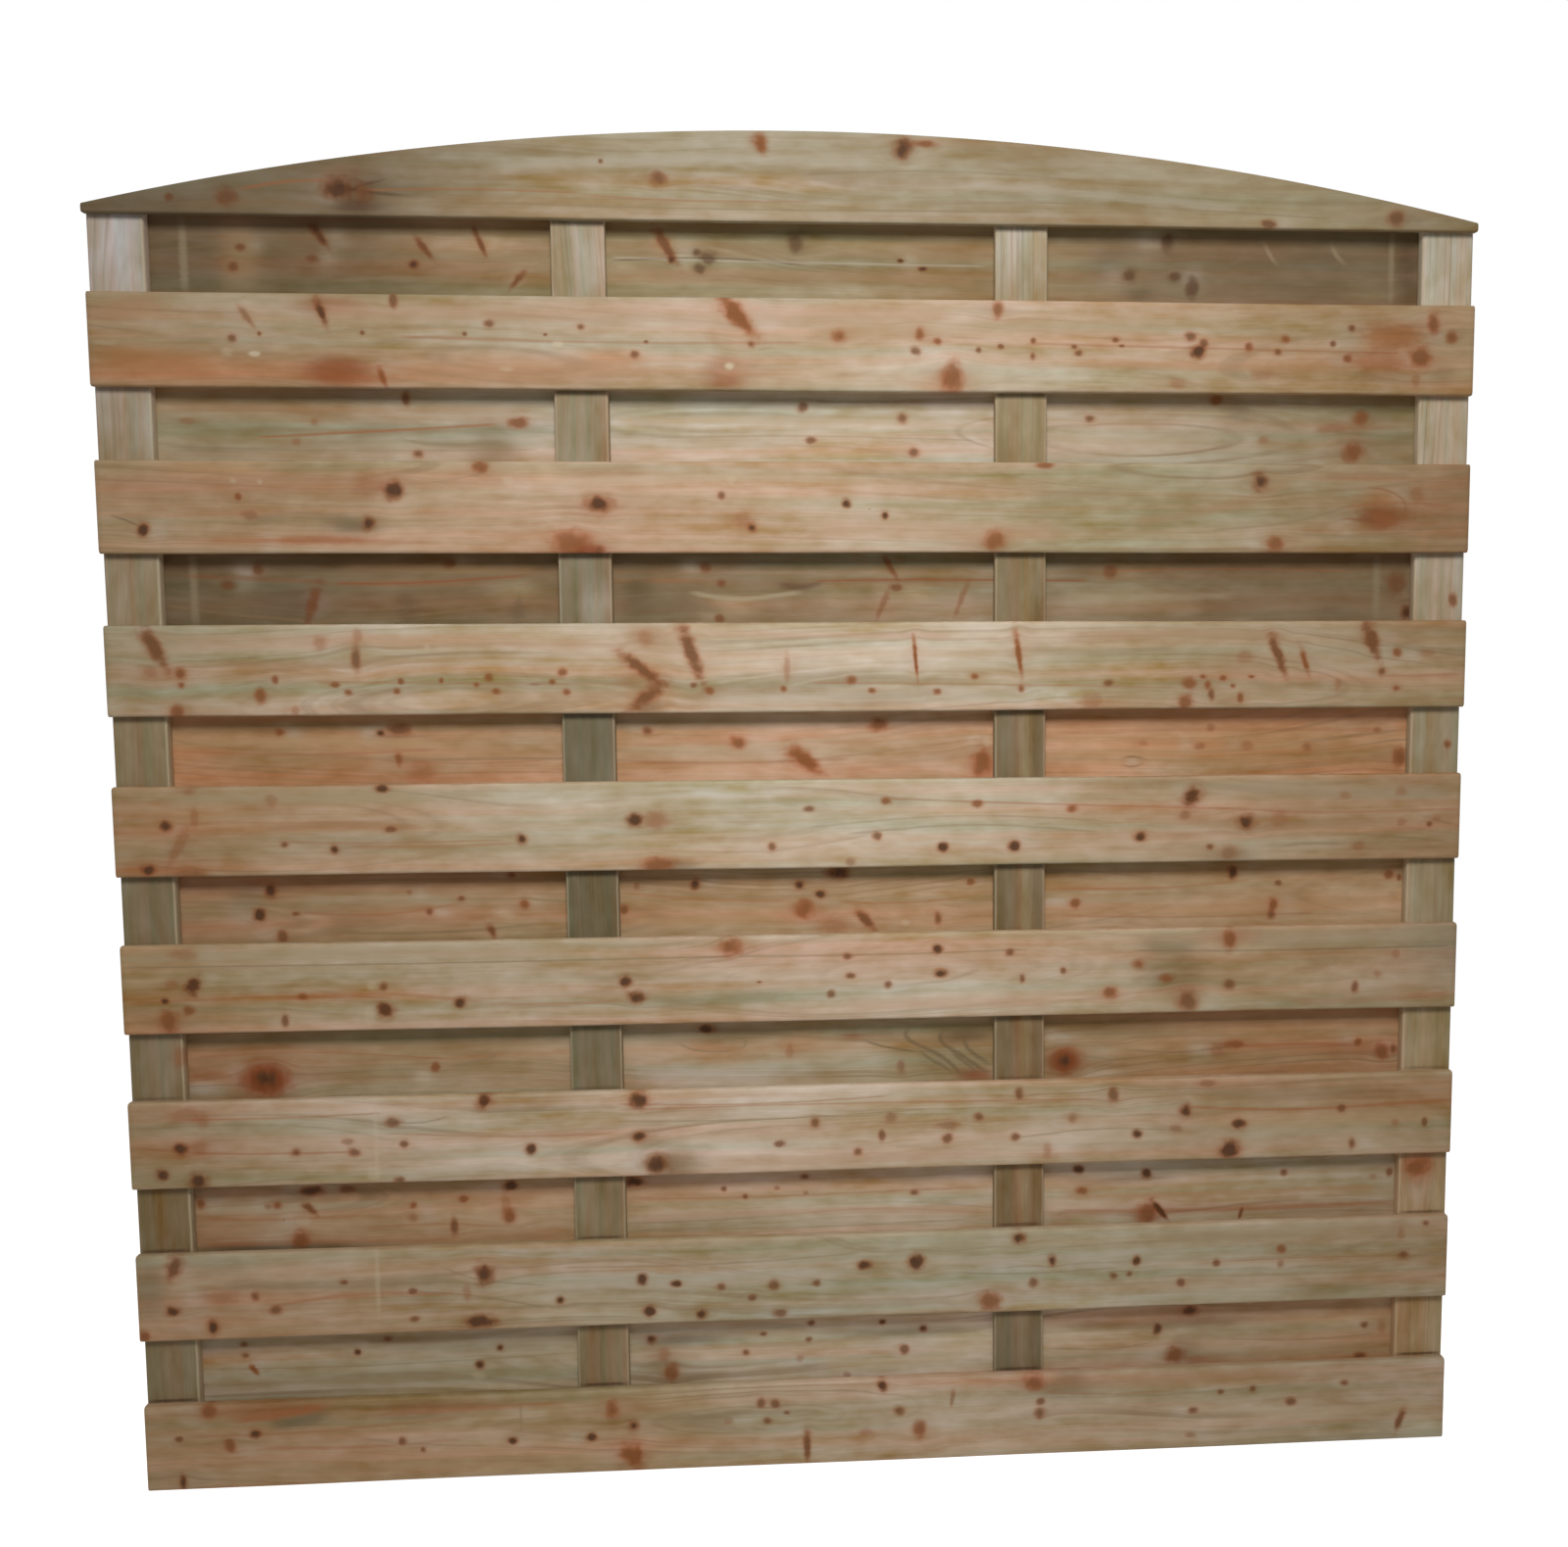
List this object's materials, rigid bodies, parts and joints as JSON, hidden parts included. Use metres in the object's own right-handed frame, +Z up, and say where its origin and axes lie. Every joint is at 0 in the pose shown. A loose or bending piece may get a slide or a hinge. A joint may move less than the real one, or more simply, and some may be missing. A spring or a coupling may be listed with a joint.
{
  "type": "arched garden screen panel",
  "caption": "Wooden garden screen: horizontal boards on both faces of upright battens, each back board covering a gap in the front, under an arched top board.",
  "frame": {"origin": "foot of the left upright's outer side face, at the middle of its thickness, where the screen meets its post", "axes": "+X runs along the screen from its left end to its right end, -Y is the front that the picture shows, +Z is up"},
  "size_m": [1.8, 0.052, 1.8],
  "materials": {
    "front_boards": "planed, pressure-treated softwood",
    "back_boards": "planed, pressure-treated softwood",
    "uprights": "planed, pressure-treated softwood",
    "arched_board": "planed, pressure-treated softwood"
  },
  "bodies": {
    "root": {"upright_left": "uprights", "upright_mid_left": "uprights", "upright_mid_right": "uprights", "upright_right": "uprights", "front_board_1": "front_boards", "front_board_2": "front_boards", "front_board_3": "front_boards", "front_board_4": "front_boards", "front_board_5": "front_boards", "front_board_6": "front_boards", "front_board_7": "front_boards", "front_board_8": "front_boards", "back_board_1": "back_boards", "back_board_2": "back_boards", "back_board_3": "back_boards", "back_board_4": "back_boards", "back_board_5": "back_boards", "back_board_6": "back_boards", "back_board_7": "back_boards", "back_board_8": "back_boards", "arched_board": "arched_board"}
  },
  "joints": []
}
